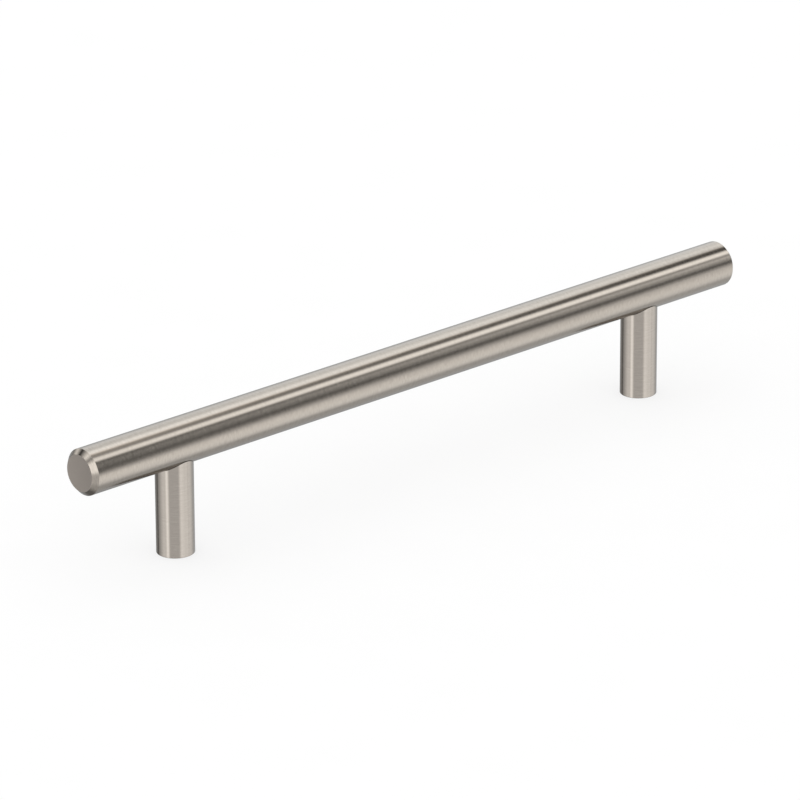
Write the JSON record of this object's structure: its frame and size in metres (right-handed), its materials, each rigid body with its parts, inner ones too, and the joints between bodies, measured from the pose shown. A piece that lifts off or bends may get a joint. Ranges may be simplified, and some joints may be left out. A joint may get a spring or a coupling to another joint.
{
  "type": "t bar cabinet pull",
  "caption": "Round T bar cabinet pull: a straight brushed bar with chamfered ends, saddled on round posts whose feet are drilled and tapped.",
  "frame": {"origin": "on the door's face, midway between the two posts", "axes": "+X along the bar, +Z out of the door, +Y across the bar"},
  "size_m": [0.22, 0.012, 0.035],
  "materials": {
    "bar": "satin nickel plate, brushed round the bar",
    "posts": "satin nickel plate, brushed round the post",
    "set_screws": "bright zinc plate"
  },
  "bodies": {
    "root": {"bar": "bar", "post_left": "posts", "post_right": "posts", "set_screw_left": "set_screws", "set_screw_right": "set_screws"}
  },
  "joints": []
}
